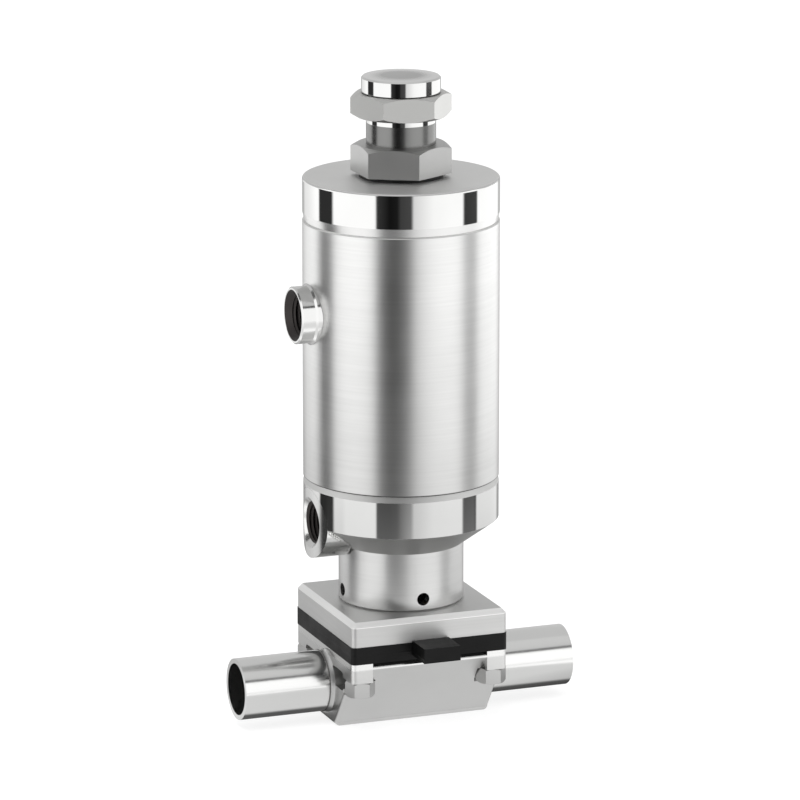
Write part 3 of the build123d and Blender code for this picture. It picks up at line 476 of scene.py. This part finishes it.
# Screw's round head, polished stainless steel: sharp bands under a satin top that stays grey
cap_steel = zoned("polished_head_with_satin_top", ("D2D2D1", 0.045), (199.85, 0.1, "B0B0AF", 0.34))
# Welded-in ports, fine-turned stainless steel: bright, with slightly soft reflections
port_steel = metal("satin_stainless_port", "D2D2D1", 0.13, grain=0.1, spread=0.03)
# Threads cut in the ports, with a skin over each mouth's chamfer: painted dark as shade, because little
# light gets in
thread_steel = metal("cut_thread_with_painted_shade", "3F3C3B", 0.5, grain=0.15, spread=0.06)
# Weld beads at the lower port, brushed clean: small bright ripples
weld_steel = metal("brushed_weld_bead", "D8D8D6", 0.22, grain=0.2, spread=0.05)
# Weld seams of the spigots, ground nearly flush: a thin dull line
seam_steel = metal("dark_weld_seam", "7C7B7A", 0.35, grain=0.2, spread=0.05)
# Spigots, polished stainless tube: long clean bands with soft edges
tube_steel = metal("polished_tube_stainless", "DADAD9", 0.17, spread=0.015, tint=0.03)
# Body, bead-blasted forging: even matt grey, with a machined edge at the flange's top that catches light
body_steel = zoned("bead_blasted_body", ("CDCDCC", 0.36), (21.5, 0.5, "D4D4D3", 0.16), grain=0.3,
                   spread=0.03)
# Compressor, bead-blasted casting: even matt grey
blasted = metal("bead_blasted_stainless", "C7C7C6", 0.36, grain=0.35, spread=0.03)
# Lock nut, machined stainless hexagon: each flat is an even matt grey of its own
nut_steel = metal("machined_stainless_nut", "CACAC8", 0.42, grain=0.15, spread=0.02)
# Limiter's housing, machined a little finer: a grey hexagon on a collar that is painted dark as the shade it
# lies in
hexagon_steel = zoned("machined_hexagon_with_painted_shade_on_collar", ("2C2C2C", 0.5), (170.0, 0.2, "B6B6B5", 0.37),
                      grain=0.15, spread=0.02)
# Sleeve, turned stainless steel, coloured about half as light as the other steel parts: grey with soft dark
# bands
sleeve_steel = metal("turned_stainless_sleeve", "7A7A79", 0.24, grain=0.1, stretch=TURNED, spread=0.015)
# Studs, nuts, washer, pins, screw and spindle, plain stainless steel: medium gloss
fastener = metal("stainless_fasteners", "BEBEBD", 0.3, grain=0.1, spread=0.02)
# Springs, drawn and oiled wire: dark grey with a soft highlight along each turn
spring_wire = metal("oiled_spring_wire", "6F6F70", 0.32, grain=0.2, spread=0.03)
# Piston, turned aluminium: pale and slightly blue, with round tool marks
aluminium = metal("turned_aluminium_piston", "C4C6C9", 0.3, grain=0.15, stretch=TURNED, spread=0.02)
# Spindle's bush, bearing bronze: warm brown metal
bronze = metal("bearing_bronze", "A8834B", 0.35, grain=0.15, spread=0.02)
# Diaphragm, black moulded EPDM: matt black with a fine parting ridge
epdm = rubber("black_epdm_diaphragm", "090909", 0.5, parting=0.0264)
# Seals, black moulded nitrile: matt black
nitrile = rubber("black_nitrile_seals", "0F0F11", 0.45)
# Piston's guide ring, PTFE: soft white
ptfe = rubber("white_ptfe_guide_ring", "DDDCD6", 0.5)

# Finish of each piece
finishes = {
    "valve_body": body_steel, "inlet_tube": tube_steel, "outlet_tube": tube_steel, "diaphragm": epdm,
    "diaphragm_membrane": epdm, "bonnet": bonnet_steel, "flange_studs": fastener, "flange_nuts": fastener,
    "bottom_cover": cover_steel, "spindle_bush": bronze, "spindle_seals": nitrile,
    "lower_air_port": port_steel, "lower_cover_oring": nitrile, "cylinder_tube": satin_barrel,
    "upper_air_port": port_steel, "top_cover": top_steel, "upper_cover_oring": nitrile,
    "limiter_housing": hexagon_steel, "housing_oring": nitrile, "housing_sleeve": sleeve_steel,
    "seal_ring": polished, "lock_nut": nut_steel, "screw_cap": cap_steel, "stop_screw": fastener,
    "stop_pad": fastener, "spindle": fastener, "piston": aluminium, "piston_seal": nitrile,
    "piston_guide_ring": ptfe, "piston_washer": fastener, "piston_nut": fastener, "compressor": blasted,
    "compressor_pin": fastener, "diaphragm_stud": fastener,
}
for name, finish in finishes.items():
    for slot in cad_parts[name].material_slots:
        slot.material = finish

# Closing springs, which the piston presses together
coil_spring("outer_spring", radius=19.5, wire=3.8, turns=7)
coil_spring("inner_spring", radius=13.0, wire=2.8, turns=9)

# Threads in both air ports, coloured with painted shade
UPPER_PORT_HEIGHT, LOWER_PORT_HEIGHT = 128.3, 62.9
thread_lining("upper_port_thread", UPPER_PORT_HEIGHT, start=28.0, straight_end=33.3, mouth=34.97)
thread_lining("lower_port_thread", LOWER_PORT_HEIGHT, start=19.7, straight_end=28.4, mouth=28.7)

# Welds on both sides of the lower port, where its round boss comes out of the cover's cone
BOSS_RADIUS = 10.9
CONE_TOP_RADIUS, CONE_FOOT_RADIUS, CONE_HEIGHT = 30.1, 19.3, 7.9
# The path lies on the boss's circle, from 1 to 19 degrees below its middle, and on the cone
below = np.radians(np.linspace(1, 19, 40))
breadth, drop = BOSS_RADIUS * np.cos(below), BOSS_RADIUS * np.sin(below)
cone = CONE_TOP_RADIUS - drop * (CONE_TOP_RADIUS - CONE_FOOT_RADIUS) / CONE_HEIGHT
for side, label in ((-1, "front"), (1, "rear")):
    path = np.stack([-np.sqrt(cone ** 2 - breadth ** 2), side * breadth, LOWER_PORT_HEIGHT - drop], 1)
    bead("lower_port_weld_" + label, path, radius=0.95, finish=weld_steel, closed=False)

# Seams where the spigots are welded to the body, round circles just under the tubes' skin
SEAM_PLACE, SEAM_RADIUS, TUBE_HEIGHT = 26.8, 9.42, 12.2
around = np.linspace(0, 2 * np.pi, 200, endpoint=False)
for side, label in ((-1, "inlet"), (1, "outlet")):
    path = np.stack([np.full(len(around), side * SEAM_PLACE), SEAM_RADIUS * np.cos(around),
                     TUBE_HEIGHT + SEAM_RADIUS * np.sin(around)], 1)
    bead(label + "_weld_seam", path, radius=0.26, finish=seam_steel, closed=True)
